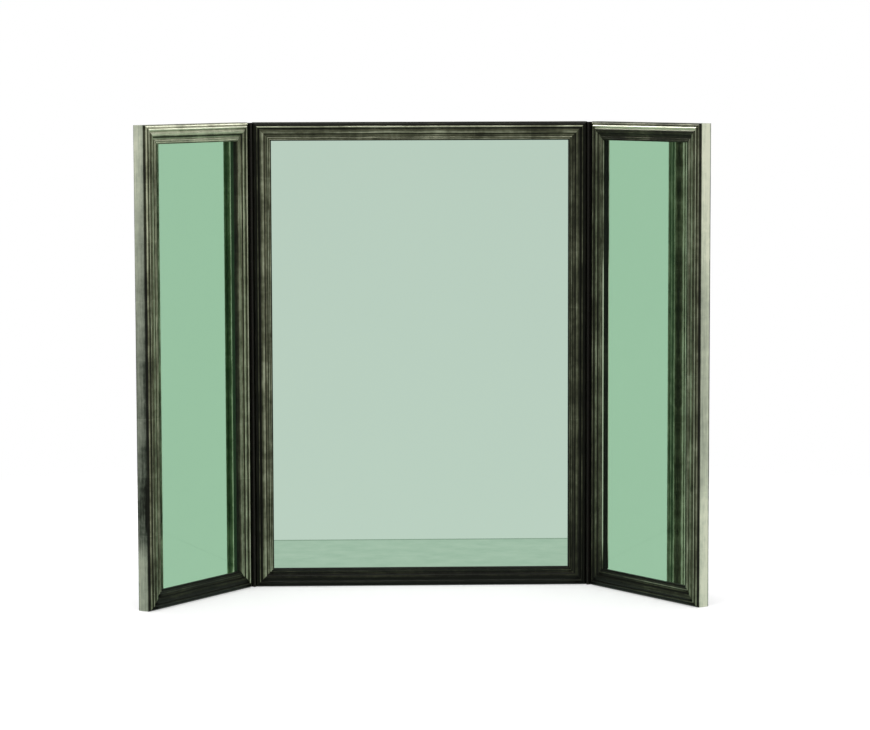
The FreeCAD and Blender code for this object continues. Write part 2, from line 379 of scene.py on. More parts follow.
def glassEdgeMaterial():
    finish = glassEdgeFinish
    material, tree, shader = newMaterial("groundGlassEdge")
    cloud = fromGroup(tree, cloudGroup, *finish["clouds"])
    surface(shader, finish, blendColour(cloud, finish["green"], finish["ground"]), cloud)
    return material


metalFinishes = {
    "darkBronze": {"ground": (0.010, 0.0085, 0.0065, 1), "worn": (0.032, 0.026, 0.020, 1),
                   "roughness": (0.40, 0.60), "metal": 0.6, "wear": 0.5},
    "bronzedScrew": {"ground": (0.018, 0.015, 0.011, 1), "worn": (0.13, 0.10, 0.06, 1),
                     "roughness": (0.32, 0.52), "metal": 0.8, "wear": 0.7},
    "agedBrass": {"ground": (0.22, 0.15, 0.06, 1), "worn": (0.62, 0.46, 0.20, 1),
                  "roughness": (0.26, 0.46), "metal": 0.95, "wear": 0.7},
    "nailSteel": {"ground": (0.20, 0.19, 0.18, 1), "worn": (0.45, 0.44, 0.42, 1),
                  "roughness": (0.32, 0.52), "metal": 0.9, "wear": 0.6},
}
metalSurface = {"clouds": (0.010, 0.2, 3.0), "scuffs": (0.0016, 0.12, 8.0), "relief": 0.00003}


def agedMetal(name):
    finish = metalFinishes[name] | metalSurface
    material, tree, shader = newMaterial(name)
    cloud = fromGroup(tree, cloudGroup, *finish["clouds"])
    scuffs = fromGroup(tree, cloudGroup, *finish["scuffs"])
    colour = blendColour(cloud * scuffs * finish["wear"], finish["ground"], finish["worn"])
    surface(shader, finish, colour, scuffs, scuffs, finish["metal"])
    return material


battenFinish = {
    "early": (0.66, 0.50, 0.32, 1), "late": (0.50, 0.33, 0.17, 1),
    "grain": (3.0, 0.12, 0.002),    # seed, length and width
    "clouds": (0.05, 0.25, 4.0), "leastLate": 0.5,
    "roughness": (0.55, 0.7), "relief": 0.0001,
}


def battenMaterial():
    finish = battenFinish
    material, tree, shader = newMaterial("planedPine")
    place = separated(objectPlace(tree))
    grain = fromGroup(tree, streakGroup, place["Z"], place["X"], *finish["grain"])
    cloud = fromGroup(tree, cloudGroup, *finish["clouds"])
    late = grain * remap(cloud, 0.0, 1.0, finish["leastLate"], 1.0)
    surface(shader, finish, blendColour(late, finish["early"], finish["late"]), grain, grain)
    return material


boardFinish = {
    "paint": (0.026, 0.024, 0.022, 1), "dust": (0.10, 0.095, 0.085, 1), "dustShare": 0.4,
    "fibres": (1400.0, 2.0, 0.6), "clouds": (0.09, 0.2, 6.0), "scuffs": (0.006, 0.3, 9.0),
    "roughness": (0.62, 0.85), "relief": 0.0003,
}


def backBoardMaterial():
    finish = boardFinish
    material, tree, shader = newMaterial("paintedFibreboard")
    fibre = noise(objectPlace(tree), *finish["fibres"])
    cloud = fromGroup(tree, cloudGroup, *finish["clouds"])
    scuffs = fromGroup(tree, cloudGroup, *finish["scuffs"])
    dust = cloud * scuffs * finish["dustShare"]
    surface(shader, finish, blendColour(dust, finish["paint"], finish["dust"]), dust, fibre)
    return material


silverLeaf = silverLeafMaterial()
backPaint = backPaintMaterial()
silveredGlass = mirrorMaterial()
mirrorBacking = mirrorBackMaterial()
glassEdge = glassEdgeMaterial()
darkBronze, bronzeScrew, agedBrass, nailSteel = [agedMetal(name) for name in metalFinishes]
planedPine = battenMaterial()
paintedBoard = backBoardMaterial()
print("finishes built")


def newObject(name, data, hidden=False):
    made = bpy.data.objects.new(name, data)
    bpy.context.scene.collection.objects.link(made)
    made.hide_render = hidden
    return made


def meshOf(work, name):
    mesh = bpy.data.meshes.new(name)
    work.to_mesh(mesh)
    work.free()
    return mesh


def boxWork(low, high):
    low, high = Vector(low) * mm, Vector(high) * mm
    work = bmesh.new()
    bmesh.ops.create_cube(work, size=1.0)
    bmesh.ops.scale(work, verts=work.verts, vec=high - low)
    bmesh.ops.translate(work, verts=work.verts, vec=(low + high) / 2)
    return work


def bevelEdges(work, edges, width, segments=1, profile=0.5):
    bmesh.ops.bevel(work, geom=edges, offset=width * mm, segments=segments, profile=profile, affect="EDGES")


def panelPlaces():
    width, depth = panelSizes["centreWidth"], panelSizes["depth"]
    places = {"centre": (width, Matrix.Translation((-width / 2 * mm, -depth / 2 * mm, 0)))}
    for joint in frame["joints"]:
        side = -1 if joint["child"] == "left_wing" else 1
        fold = math.radians(-joint["range_deg"][0])
        pin = Vector(joint["pos_m"])
        leftEdge = (width / 2 + panelSizes["betweenPanels"]) * side
        if side < 0:
            leftEdge -= panelSizes["wingWidth"]
        flat = Matrix.Translation((leftEdge * mm, -depth / 2 * mm, 0))
        turn = Matrix.Translation(pin) @ Matrix.Rotation(-side * fold, 4, "Z") @ Matrix.Translation(-pin)
        places[joint["child"]] = (panelSizes["wingWidth"], turn @ flat)
    return places


places = panelPlaces()


def asPiece(name, mesh, body, nodes, place):
    mesh.transform(place)
    piece = newObject(name, mesh)
    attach(piece, body)
    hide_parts(*nodes)
    return piece


def shapeOf(carrier):
    return geometryNode("ObjectInfo", {"Object": carrier}, "Geometry", transform_space="ORIGINAL")


def readValue(tree, name):
    return geometryNode("InputNamedAttribute", {"Name": name}, 0, tree, data_type="FLOAT")


def withValue(geometry, name, value):
    return geometryNode("StoreNamedAttribute", {"Geometry": geometry, "Name": name, "Value": value},
                        data_type="FLOAT", domain="POINT")


def realInMaterial(geometry, material):
    real = geometryNode("RealizeInstances", {"Geometry": geometry})
    return geometryNode("SetMaterial", {"Geometry": real, "Material": material})


# gives the carrier the tree with these values, and turns what it makes into a plain mesh
def bakedFrom(carrier, tree, values, name):
    modifier = carrier.modifiers.new(tree.name, "NODES")
    modifier.node_group = tree
    for item in tree.interface.items_tree:
        if item.in_out == "INPUT" and item.name in values:
            modifier[item.identifier] = values[item.name]
    bpy.context.view_layer.update()
    depsgraph = bpy.context.evaluated_depsgraph_get()
    mesh = bpy.data.meshes.new_from_object(carrier.evaluated_get(depsgraph))
    mesh.name = name
    carrierMesh = carrier.data
    bpy.data.objects.remove(carrier)
    bpy.data.meshes.remove(carrierMesh)
    return mesh


def shaded(mesh, sharpAngle):
    mesh.shade_smooth()
    mesh.set_sharp_from_angle(angle=math.radians(sharpAngle))
    return mesh


mouldingSection = {
    "lipWidth": 5.5, "lipDrop": 5.6,
    "beadWidth": 3.0, "beadRise": 1.4,
    "grooveWidth": 1.5, "grooveDepth": 2.0,
    "bandWidth": 7.0, "bandCrown": 0.6, "bandDepth": 1.3,
    "lineShares": (0.30, 0.72), "lineDepth": 0.22, "lineHalfWidth": 0.35,
    "stepDepth": 1.0, "stepWidth": 0.02,
    "coveWidth": 5.0, "coveDepth": 3.6,
    "reedWidth": 2.5, "reedRise": 0.9, "reedCount": 2,
    "sightWidth": 1.0, "sightDrop": 0.4,
    "rabbetWall": 22.0, "ledgeWall": 12.0, "boardSeat": 21.0,
    "backRelief": 0.12,           # the wood's back lies this much under the nails' heads
    "softArris": 0.28,
    "wallLines": (5.1, 5.5),
    "flankLines": (22.3, 21.7, 19.0, 16.5, 14.0, 11.5, 9.0, 7.2),
    "roundSteps": 12, "grooveSteps": 7, "bandSteps": 28, "reedSteps": 10,
    "flankTo": 0.3, "flankStart": 5.7, "frontEnd": 5.8, "backStart": 23.2,    # which face a point is on
    "rabbetFrom": 0.5, "rabbetStart": 7.6, "hiddenWipe": -0.6,
}
railSettings = {
    "segments": 48,
    "waver": 0.05, "waverLength": 45.0, "waverInward": 0.5,
    "waverAcross": 180.0, "waverFade": 0.012, "waverNoise": (1.0, 2.0, 0.5),
    "lipEnds": (0.0045, 0.0056), "splitSoftness": 0.0006, "split": 11.0,
    "sharpAngle": 38,
}
# how far the glaze is wiped back, by millimetres from the outer arris
wipeStops = [(0.0, -0.40), (1.3, -0.38), (1.9, 0.16), (2.7, 0.12), (3.5, -0.04), (4.6, -0.08),
             (5.3, -0.42), (5.9, -0.10), (6.6, 0.28), (7.4, 0.30), (8.2, -0.06), (9.2, -0.52),
             (10.2, -0.16), (12.6, -0.14), (14.0, 0.02), (15.8, 0.12), (16.7, 0.06), (17.05, -0.48),
             (17.7, -0.40), (18.6, -0.10), (20.4, -0.02), (21.8, -0.22), (23.25, 0.20), (24.5, -0.30),
             (25.75, 0.18), (26.7, -0.26), (27.4, -0.36), (28.0, -0.42)]


# points on the circle through three points, which are taken as complex numbers
def arcPoints(start, middle, end, count):
    start, middle, end = [complex(*point) for point in (start, middle, end)]
    skew = (end - start) / (middle - start)
    centre = start + (middle - start) * (skew - abs(skew) ** 2) / (2j * skew.imag)
    spoke = start - centre
    through, sweep = [cmath.phase((point - centre) / spoke) % (2 * math.pi) for point in (middle, end)]
    if through > sweep:
        sweep -= 2 * math.pi
    points = [centre + spoke * cmath.rect(1, sweep * step / count) for step in range(count + 1)]
    return [(point.real, point.imag) for point in points]


# the moulding's face as (inward, depth), from the outer arris to the sight edge
def frontLine():
    s = mouldingSection
    diagonal = math.sqrt(0.5)
    beadStart, beadSide, bandSide = s["lipWidth"], s["beadRise"], s["bandDepth"]
    beadEnd = beadStart + s["beadWidth"]
    bandStart = beadEnd + s["grooveWidth"]
    bandEnd = bandStart + s["bandWidth"]
    reedsStart = bandEnd + s["coveWidth"]
    coveTop = bandSide + s["stepDepth"]
    points = [(0, s["lipDrop"])]

    def arcTo(middle, end, count):
        points.extend(arcPoints(points[-1], middle, end, count)[1:])

    arcTo((beadStart * (1 - diagonal), s["lipDrop"] - (s["lipDrop"] - beadSide) * diagonal),
          (beadStart, beadSide), s["roundSteps"])
    arcTo((beadStart + s["beadWidth"] / 2, 0), (beadEnd, beadSide), s["roundSteps"])
    arcTo((beadEnd + s["grooveWidth"] / 2, s["grooveDepth"]), (bandStart, bandSide), s["grooveSteps"])
    arcTo((bandStart + s["bandWidth"] / 2, bandSide - s["bandCrown"]), (bandEnd, bandSide), s["bandSteps"])
    lines = [bandStart + s["bandWidth"] * share for share in s["lineShares"]]
    for i, (inward, depth) in enumerate(points):
        near = min(abs(inward - line) for line in lines)
        points[i] = (inward, depth + s["lineDepth"] * max(0.0, 1 - near / s["lineHalfWidth"]))
    points.append((bandEnd + s["stepWidth"], coveTop))
    arcTo((reedsStart - s["coveWidth"] * diagonal, coveTop + (s["coveDepth"] - coveTop) * diagonal),
          (reedsStart, s["coveDepth"]), s["roundSteps"])
    for number in range(s["reedCount"]):
        start = reedsStart + number * s["reedWidth"]
        arcTo((start + s["reedWidth"] / 2, s["coveDepth"] - s["reedRise"]),
              (start + s["reedWidth"], s["coveDepth"]), s["reedSteps"])
    reedsEnd = reedsStart + s["reedCount"] * s["reedWidth"]
    points.append((reedsEnd + s["sightWidth"], s["coveDepth"] + s["sightDrop"]))
    return points


cornerSettings = {"flat": 28, "longest": 0.4, "fullness": 0.45}


# rounds every real corner of a closed outline with four points
def softened(points, radius):
    made = []
    for i, point in enumerate(points):
        corner = Vector(point)
        before = Vector(points[i - 1]) - corner
        after = Vector(points[(i + 1) % len(points)]) - corner
        turn = math.pi - before.angle(after)
        if turn < math.radians(cornerSettings["flat"]):
            made.append(point)
            continue
        longest = cornerSettings["longest"] * min(before.length, after.length)
        cut = min(radius * math.tan(turn / 2), longest)
        first, last = [corner + side.normalized() * cut for side in (before, after)]
        middle = corner.lerp((first + last) / 2, cornerSettings["fullness"])
        made += [tuple(p) for p in (first, (first + corner) / 4 + middle / 2,
                                    (last + corner) / 4 + middle / 2, last)]
    return made


def between(stops, place):
    if place <= stops[0][0]:
        return stops[0][1]
    for (u0, w0), (u1, w1) in zip(stops, stops[1:]):
        if place <= u1:
            return w0 + (w1 - w0) * (place - u0) / (u1 - u0)
    return stops[-1][1]


def sectionCarrier():
    s = mouldingSection
    back = panelSizes["depth"] - s["backRelief"]
    outline = frontLine()
    sight = outline[-1][0]
    seat, board = panelSizes["glassFront"], s["boardSeat"]
    outline += [(sight, depth) for depth in (*s["wallLines"], seat)]
    rabbet, ledge = s["rabbetWall"], s["ledgeWall"]
    outline += [(rabbet, seat), (rabbet, board), (ledge, board), (ledge, back)]
    outline += [(0, depth) for depth in (back, *s["flankLines"])]
    outline = softened(outline, s["softArris"])

    mesh = bpy.data.meshes.new("mouldingSection")
    mesh.from_pydata([(u * mm, d * mm, 0) for u, d in outline],
                     [(i, (i + 1) % len(outline)) for i in range(len(outline))], [])
    values = {key: [] for key in ("inward", "depth", "wipe", "sideFace", "backFace", "acrossRail")}
    run = 0.0
    for i, (u, d) in enumerate(outline):
        if i:
            run += math.hypot(u - outline[i - 1][0], d - outline[i - 1][1])
        onFlank = u < s["flankTo"] and d > s["flankStart"]
        onFront = not onFlank and d < s["frontEnd"]
        onBack = d > s["backStart"]
        inRabbet = d > s["rabbetStart"] and u > s["rabbetFrom"]
        wipe = between(wipeStops, u) if onFront else 0.0 if onFlank and not onBack else s["hiddenWipe"]
        for key, value in (("inward", u * mm), ("depth", d * mm), ("wipe", wipe), ("sideFace", float(onFlank)),
                           ("backFace", float(onBack or inRabbet)), ("acrossRail", run * mm)):
            values[key].append(value)
    for key, numbers in values.items():
        mesh.attributes.new(key, "FLOAT", "POINT").data.foreach_set("value", numbers)
    return newObject("mouldingSection", mesh, hidden=True)


def railTree():
    tree, given = newGroup("mitredRail", "Geometry", {
        "Geometry": "Geometry", "Section": "Object", "Length": 0.5, "Segments": 36, "Waver": 0.00005,
        "Waver Length": 0.045, "Seed": 0.0, "Lip Tone": 0.0, "Outer Tone": 0.0, "Inner Tone": 0.0,
        "Split": 0.011, "Leaf": "Material", "Back Paint": "Material"}, {"Geometry": "Geometry"})

    sectionCurve = geometryNode("MeshToCurve", {"Mesh": shapeOf(given["Section"])})
    axis = geometryNode("CurvePrimitiveLine", {"End": combined(z=given["Length"])})
    axis = geometryNode("ResampleCurve", {"Curve": axis, "Count": given["Segments"] + 1.0})
    axis = withValue(axis, "railShare", geometryNode("SplineParameter", {}, 0, tree))
    swept = geometryNode("CurveToMesh", {"Curve": axis, "Profile Curve": sectionCurve, "Fill Caps": True})

    inward, depth, share, sideFace, backFace = [
        readValue(tree, name) for name in ("inward", "depth", "railShare", "sideFace", "backFace")]
    length = given["Length"] - inward * 2.0
    run = share * length
    along = inward + run
    placed = geometryNode("SetPosition", {"Geometry": swept, "Position": combined(along, depth, inward)})

    # a hand-finished front is never quite straight; the waver dies out at the mitres
    fromMitre = calc("MINIMUM", run, length - run)
    waverPlace = combined(along / given["Waver Length"], inward * railSettings["waverAcross"], given["Seed"])
    waver = noise(waverPlace, *railSettings["waverNoise"]) * given["Waver"]
    waver = waver * ((1.0 - backFace) * remap(fromMitre, 0.0, railSettings["waverFade"]))
    placed = geometryNode("SetPosition", {
        "Geometry": placed, "Offset": combined(y=waver, z=waver * railSettings["waverInward"])})

    # painted light and shade: the lip, outer band and inner band each get the rail's own lightness, stored as
    # railTone; the flank starts from none
    softness = railSettings["splitSoftness"]
    tone = blendValue(remap(inward, *railSettings["lipEnds"]), given["Lip Tone"], given["Outer Tone"])
    tone = blendValue(remap(inward - given["Split"], -softness, softness), tone, given["Inner Tone"])
    tone = blendValue(sideFace, tone, 0.0)
    for name, value in (("alongRail", along), ("fromMitre", fromMitre), ("railSeed", given["Seed"]),
                        ("railTone", tone)):
        placed = withValue(placed, name, value)
    return putOut(geometryNode("SetMaterial", {
        "Geometry": realInMaterial(placed, given["Leaf"]), "Selection": backFace > 0.5,
        "Material": given["Back Paint"]}))


# painted light and shade for each rail: the lightness of its lip, outer band and inner band, where the outer
# band ends, and how much of the wiping shows; then painted changes by millimetres: over the front, along it,
# along the lip, along the sight edge's arris, along the flank and across it; and how much lighter the mirrors
# show it, a painted reflection.
# These paint the bottom rails, the centre frame's lips and outer bands and some rail ends darker as shade,
# paint highlights on the wings' top rails and on the right hinge stile's arris, and paint the outer stiles'
# flanks lighter and darker along their height and across their depth. bottomRailShading paints shade over the
# bottom rails' bead and sight edge and light over their cove and reeds
bottomRailShading = [(0, 0), (4.5, 0), (5.6, -0.16), (8.8, -0.16), (9.6, 0), (16, 0.02), (17.8, 0.12), (22.4, 0.14),
             (24, 0.04), (27, -0.08), (28, -0.14)]
railPaintedLight = {
    "centre_top_rail": {"lip": -0.55, "outer": 0.0, "inner": 0.0},
    "centre_bottom_rail": {"lip": -0.7, "outer": -0.46, "inner": -0.42, "front": bottomRailShading},
    "centre_left_stile": {"lip": -0.5, "outer": -0.42, "inner": 0.04, "inMirror": 0.28},
    "centre_right_stile": {"lip": -0.5, "outer": -0.39, "inner": -0.12,
                           "along": [(0, -0.24), (70, -0.16), (150, 0)]},
    "left_wing_top_rail": {"lip": 0.24, "outer": 0.43, "inner": 0.27, "split": 16.2, "wipeShare": 0.5,
                           "front": [(0, 0), (14.4, 0), (15.4, -0.32), (18.4, -0.36), (19.6, 0), (28, 0)]},
    "left_wing_bottom_rail": {"lip": -0.7, "outer": -0.48, "inner": -0.44, "front": bottomRailShading},
    "left_wing_outer_stile": {
        "lip": 0.10, "outer": 0.05, "inner": 0.07,
        "lipAlong": [(0, 0), (110, 0), (300, -0.18), (711, -0.14)],
        "flank": [(0, 0.35), (74, 0.30), (121, 0.17), (168, 0.06), (238, 0.04), (285, -0.04), (332, -0.10),
                  (402, -0.14), (449, -0.15), (475, -0.21), (502, -0.29), (566, -0.35), (589, -0.34),
                  (613, -0.20), (636, 0.16), (660, 0.22), (683, 0.06), (711, 0.01)],
        "across": [(5, -0.24), (9, -0.10), (14, 0), (19, 0.05), (24, 0.12)]},
    "left_wing_hinge_stile": {"lip": -0.05, "outer": 0.11, "inner": 0.16, "inMirror": -0.24,
                              "greenInMirror": 1.0},
    "right_wing_top_rail": {
        "lip": -0.10, "outer": 0.78, "inner": -0.26, "split": 11.2, "wipeShare": 0.4,
        "front": [(0, 0), (5.6, 0), (6.0, -0.25), (6.8, -0.25), (7.6, 0), (8.4, 0.1), (9.0, 0.3), (11.0, 0.3),
                  (12.0, 0), (28, 0)]},
    "right_wing_bottom_rail": {
        "lip": -0.6, "outer": -0.44, "inner": -0.32,
        "along": [(0, -0.3), (60, -0.24), (130, 0)],
        "front": [(0, 0), (10.4, 0), (11.4, 0.26), (12.6, 0.26), (13.6, 0), (18.8, 0), (19.6, 0.24),
                  (20.6, 0.24), (21.4, 0), (22.6, 0.34), (24, 0.34), (24.6, 0), (28, -0.1)]},
    "right_wing_outer_stile": {
        "lip": 0.0, "outer": 0.07, "inner": 0.10, "inMirror": 0.29, "greenInMirror": 1.0,
        "flank": [(0, 0.54), (100, 0.54), (135, 0.50), (171, 0.29), (229, 0.20), (300, 0.15), (371, 0.24),
                  (465, 0.27), (512, 0.37), (606, 0.49), (653, 0.54), (711, 0.54)],
        "across": [(5, -0.10), (14, 0), (21.8, 0.10), (22.4, -0.3), (24, -0.5)]},
    "right_wing_hinge_stile": {
        "lip": -0.48, "outer": -0.18, "inner": 0.04,
        "along": [(0, 0), (600, 0), (660, -0.10), (711, -0.34)],
        "arris": [(0, 0.3), (60, 0.6), (200, 0.4), (240, 1.3), (620, 1.3), (680, 0.4)]},
}
toneZones = {"lipTo": 9.0, "arrisFrom": 27.3, "arrisDepth": 5.3}


# adds each rail's painted light and shade from its table to railTone point by point, scales its wiping by
# wipeShare, and stores the painted reflection's lighter and greener tone for what the mirrors show
def addPaintedLight(mesh, tones):
    count = len(mesh.vertices)
    read = {}
    for key in ("inward", "depth", "alongRail", "sideFace", "railTone", "wipe"):
        read[key] = [0.0] * count
        mesh.attributes[key].data.foreach_get("value", read[key])

    def change(key, place):
        return between(tones.get(key, [(0, 0)]), place)

    for i in range(count):
        inward, depth, along = [read[key][i] / mm for key in ("inward", "depth", "alongRail")]
        if read["sideFace"][i] > 0.5:
            read["railTone"][i] += change("flank", along) + change("across", depth)
            continue
        read["railTone"][i] += change("front", inward) + change("along", along)
        if inward > toneZones["arrisFrom"] and depth < toneZones["arrisDepth"]:
            read["railTone"][i] += change("arris", along)
        if inward < toneZones["lipTo"]:
            read["railTone"][i] += change("lipAlong", along)
        read["wipe"][i] *= tones.get("wipeShare", 1.0)
    for key in ("railTone", "wipe"):
        mesh.attributes[key].data.foreach_set("value", read[key])
    for key, name in (("inMirror", "mirrorTone"), ("greenInMirror", "mirrorGreen")):
        mesh.attributes.new(name, "FLOAT", "POINT").data.foreach_set("value", [tones.get(key, 0.0)] * count)


def outward(mesh):
    work = bmesh.new()
    work.from_mesh(mesh)
    bmesh.ops.recalc_face_normals(work, faces=work.faces)
    work.to_mesh(mesh)
    work.free()


mitredRail = railTree()
section = sectionCarrier()


def makeRail(node, body, length, seat, seed):
    tones = railPaintedLight[node]
    carrier = newObject("railCarrier", bpy.data.meshes.new("railCarrier"))
    mesh = bakedFrom(carrier, mitredRail, {
        "Section": section, "Length": length * mm, "Segments": railSettings["segments"],
        "Waver": railSettings["waver"] * mm, "Waver Length": railSettings["waverLength"] * mm,
        "Seed": float(seed), "Lip Tone": tones["lip"], "Outer Tone": tones["outer"],
        "Inner Tone": tones["inner"], "Split": tones.get("split", railSettings["split"]) * mm,
        "Leaf": silverLeaf, "Back Paint": backPaint}, node + "_moulding")
    addPaintedLight(mesh, tones)
    outward(mesh)
    shaded(mesh, railSettings["sharpAngle"])
    rail = asPiece(node + "_moulding", mesh, body, [node], places[body][1] @ seat)
    rail.visible_glossy = not node.endswith("bottom_rail")
    return rail


def turnedSeat(degrees, x, z):
    return Matrix.Translation((x * mm, 0, z * mm)) @ Matrix.Rotation(math.radians(degrees), 4, "Y")


height = panelSizes["height"]
seeds = {"rails": 1, "perPanel": 7, "perRail": 3, "backScrews": 11, "leafScrews": 21}
standing = []    # what runs on into the stand in the mirrors, with its body and the plane that cuts it off
stileNames = {"centre": ("left_stile", "right_stile"), "left_wing": ("outer_stile", "hinge_stile"),
              "right_wing": ("hinge_stile", "outer_stile")}
for number, (body, (width, _)) in enumerate(places.items()):
    left, right = stileNames[body]
    seats = {"bottom_rail": (width, turnedSeat(0, 0, 0)), "top_rail": (width, turnedSeat(180, width, height)),
             left: (height, turnedSeat(90, 0, height)), right: (height, turnedSeat(-90, width, 0))}
    for step, (name, (length, seat)) in enumerate(seats.items()):
        seed = seeds["rails"] + number * seeds["perPanel"] + step * seeds["perRail"]
        rail = makeRail(f"{body}_{name}", body, length, seat, seed)
        if name == left:
            standing.append((rail, body, (0, 0, 0), (-1, 0, 1)))
        elif name == right:
            standing.append((rail, body, (width * mm, 0, 0), (1, 0, 1)))
bpy.data.objects.remove(section)
print("mouldings swept")


def makeMirror(body, width, place):
    inset, front = panelSizes["glassInset"], panelSizes["glassFront"]
    back = front + panelSizes["glassThickness"]
    work = boxWork((inset, front, inset), (width - inset, back, height - inset))
    rim = [e for e in work.edges if min(v.co.y for v in e.verts) > (front + back) / 2 * mm]
    bevelEdges(work, rim, panelSizes["glassArris"])
    bmesh.ops.recalc_face_normals(work, faces=work.faces)
    for face in work.faces:
        face.material_index = {-1: 0, 1: 1}.get(round(face.normal.y, 1), 2)    # front, back and rim
    mesh = meshOf(work, body + "_mirror")
    for material in (silveredGlass, mirrorBacking, glassEdge):
        mesh.materials.append(material)
    asPiece(body + "_mirror", mesh, body, [body + "_mirror_glass"], place)


for body, (width, place) in places.items():
    makeMirror(body, width, place)
print("mirrors set")


screwSizes = {
    "back": {"headRadius": 2.6, "shankRadius": 1.4, "headHeight": 1.5, "length": 12.0, "tip": 2.5,
             "slotWidth": 0.75, "slotDepth": 0.6},
    "leaf": {"headRadius": 2.2, "shankRadius": 1.2, "headHeight": 1.0, "length": 12.0, "tip": 2.5,
             "slotWidth": 0.6, "slotDepth": 0.45},
}
screwRows = {"ledge": 17.0, "backEnd": 45.0, "backPitch": 230.0, "leafEnd": 35.0, "leafPitch": 110.0,
             "leafRow": 10.5, "hingeInset": 0.5, "leafThickness": 1.0, "headProud": 0.06,
             "arcSteps": 9, "sharpAngle": 30}


def joinRings(work, first, second):
    for i in range(len(first)):
        j = (i + 1) % len(first)
        work.faces.new([first[i], first[j], second[j], second[i]])


def screwCarrier(name, sizes):
    work = bmesh.new()
    radius, shank, slotFloor = sizes["headRadius"], sizes["shankRadius"], -sizes["slotDepth"]
    lowRadius = radius - (radius - shank) * sizes["slotDepth"] / sizes["headHeight"]
    crossing, lowCrossing = [math.asin(sizes["slotWidth"] / 2 / r) for r in (radius, lowRadius)]
    steps = screwRows["arcSteps"]

    def vert(r, angle, z):
        return work.verts.new((r * math.cos(angle) * mm, r * math.sin(angle) * mm, z * mm))

    topArcs, lowEnds = [], []
    for start in (0.0, math.pi):
        topArcs.append([vert(radius, start + crossing + (math.pi - 2 * crossing) * i / steps, 0)
                        for i in range(steps + 1)])
        lowEnds.append([vert(lowRadius, start + a, slotFloor) for a in (lowCrossing, -lowCrossing)])
    firstArc, secondArc = topArcs
    rightEnd, leftEnd = lowEnds
    rim = firstArc + [leftEnd[1], leftEnd[0]] + secondArc + [rightEnd[1], rightEnd[0]]
    rings = [rim]
    for r, z in ((shank, -sizes["headHeight"]), (shank, sizes["tip"] - sizes["length"]),
                 (shank / 3, -sizes["length"])):
        rings.append([vert(r, math.atan2(v.co.y, v.co.x), z) for v in rim])
    for face in (firstArc, secondArc, [rightEnd[0], leftEnd[1], leftEnd[0], rightEnd[1]],
                 [firstArc[0], firstArc[-1], leftEnd[1], rightEnd[0]],
                 [secondArc[0], secondArc[-1], rightEnd[1], leftEnd[0]], rings[-1]):
        work.faces.new(face)
    for upper, lower in zip(rings, rings[1:]):
        joinRings(work, upper, lower)
    bmesh.ops.recalc_face_normals(work, faces=work.faces)
    return newObject(name, meshOf(work, name), hidden=True)


def screwTree():
    _, given = newGroup("screwsOnPoints", "Geometry", {
        "Geometry": "Geometry", "Screw": "Object", "Tilt": "Vector", "Seed": 1, "Metal": "Material"},
        {"Geometry": "Geometry"})
    # sockets 3 and 1 are the greatest value and the result, as plain numbers
    spin = addNode("FunctionNodeRandomValue", {3: math.pi, "Seed": given["Seed"]}, 1, data_type="FLOAT")
    tilt, spun = [addNode("FunctionNodeEulerToRotation", {0: angles})
                  for angles in (given["Tilt"], combined(z=spin))]
    turned = addNode("FunctionNodeRotateRotation", {0: tilt, 1: spun}, rotation_space="LOCAL")
    screws = geometryNode("InstanceOnPoints", {
        "Points": given["Geometry"], "Instance": shapeOf(given["Screw"]), "Rotation": turned})
    return putOut(realInMaterial(screws, given["Metal"]))


def spread(length, end, pitch):
    run = length - 2 * end
    spaces = max(1, math.ceil(run / pitch))
    return [end + run * step / spaces for step in range(spaces + 1)]


screwsOnPoints = screwTree()
backScrew = screwCarrier("backScrew", screwSizes["back"])
leafScrew = screwCarrier("leafScrew", screwSizes["leaf"])


def driveScrews(node, body, points, tilt, screw, metal, seed):
    mesh = bpy.data.meshes.new("screwPoints")
    mesh.from_pydata([(x * mm, y * mm, z * mm) for x, y, z in points], [], [])
    made = bakedFrom(newObject("screwPoints", mesh), screwsOnPoints,
                     {"Screw": screw, "Tilt": tilt, "Seed": seed, "Metal": metal}, node + "_slotted")
    shaded(made, screwRows["sharpAngle"])
    return asPiece(node + "_slotted", made, body, [node], places[body][1])


for number, (body, (width, _)) in enumerate(places.items()):
    ledge, back = screwRows["ledge"], panelSizes["depth"]
    along, upright = [spread(run, screwRows["backEnd"], screwRows["backPitch"]) for run in (width, height)]
    points = [(x, back, z) for x in along for z in (ledge, height - ledge)]
    points += [(x, back, z) for x in (ledge, width - ledge) for z in upright[1:-1]]
    driven = driveScrews(body + "_back_screws", body, points, (-math.pi / 2, 0, 0), backScrew, agedBrass,
                         seeds["backScrews"] + number)
    driven.visible_glossy = False

hingeLength = height - 2 * screwRows["hingeInset"]
for sideName, side in (("left", -1), ("right", 1)):
    for part, body, hand in (("centre", "centre", side), ("wing", sideName + "_wing", -side)):
        edge = places[body][0] if hand > 0 else 0.0
        face = edge + hand * (screwRows["leafThickness"] + screwRows["headProud"])
        points = [(face, screwRows["leafRow"] - panelSizes["pinInFront"], z + screwRows["hingeInset"])
                  for z in spread(hingeLength, screwRows["leafEnd"], screwRows["leafPitch"])]
        driveScrews(f"{sideName}_hinge_{part}_screws", body, points, (0, hand * math.pi / 2, 0), leafScrew,
                    bronzeScrew, seeds["leafScrews"] + side + hand)
bpy.data.objects.remove(backScrew)
bpy.data.objects.remove(leafScrew)
print("screws driven")


